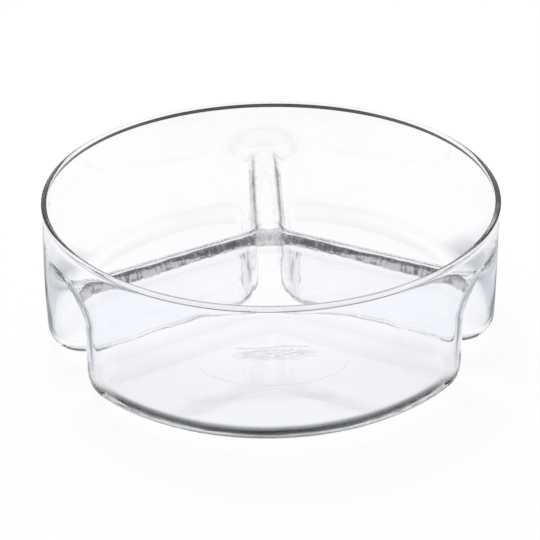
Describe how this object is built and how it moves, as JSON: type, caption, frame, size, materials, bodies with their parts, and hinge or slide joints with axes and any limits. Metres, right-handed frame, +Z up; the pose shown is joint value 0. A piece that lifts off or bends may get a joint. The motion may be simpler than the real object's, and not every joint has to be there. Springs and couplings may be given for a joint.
{
  "type": "divided serving dish",
  "caption": "Round clear glass serving dish: one rounded rim and collar over wedge-shaped compartments, parted by hollow folds that meet at a central hub.",
  "frame": {"origin": "on the dish's axis, in the plane of its bases, where it stands on the table", "axes": "+Z up along the axis, -Y through the middle of the front compartment, +Y along the rear fold"},
  "size_m": [0.24, 0.24, 0.077],
  "materials": {
    "clear_glass": "clear, fire-polished, faintly wavy from hand working"
  },
  "bodies": {
    "root": {"rim_bead": "clear_glass", "collar": "clear_glass", "centre_hub": "clear_glass", "front_compartment": "clear_glass", "right_compartment": "clear_glass", "left_compartment": "clear_glass", "rear_fold": "clear_glass", "left_fold": "clear_glass", "right_fold": "clear_glass"}
  },
  "joints": []
}
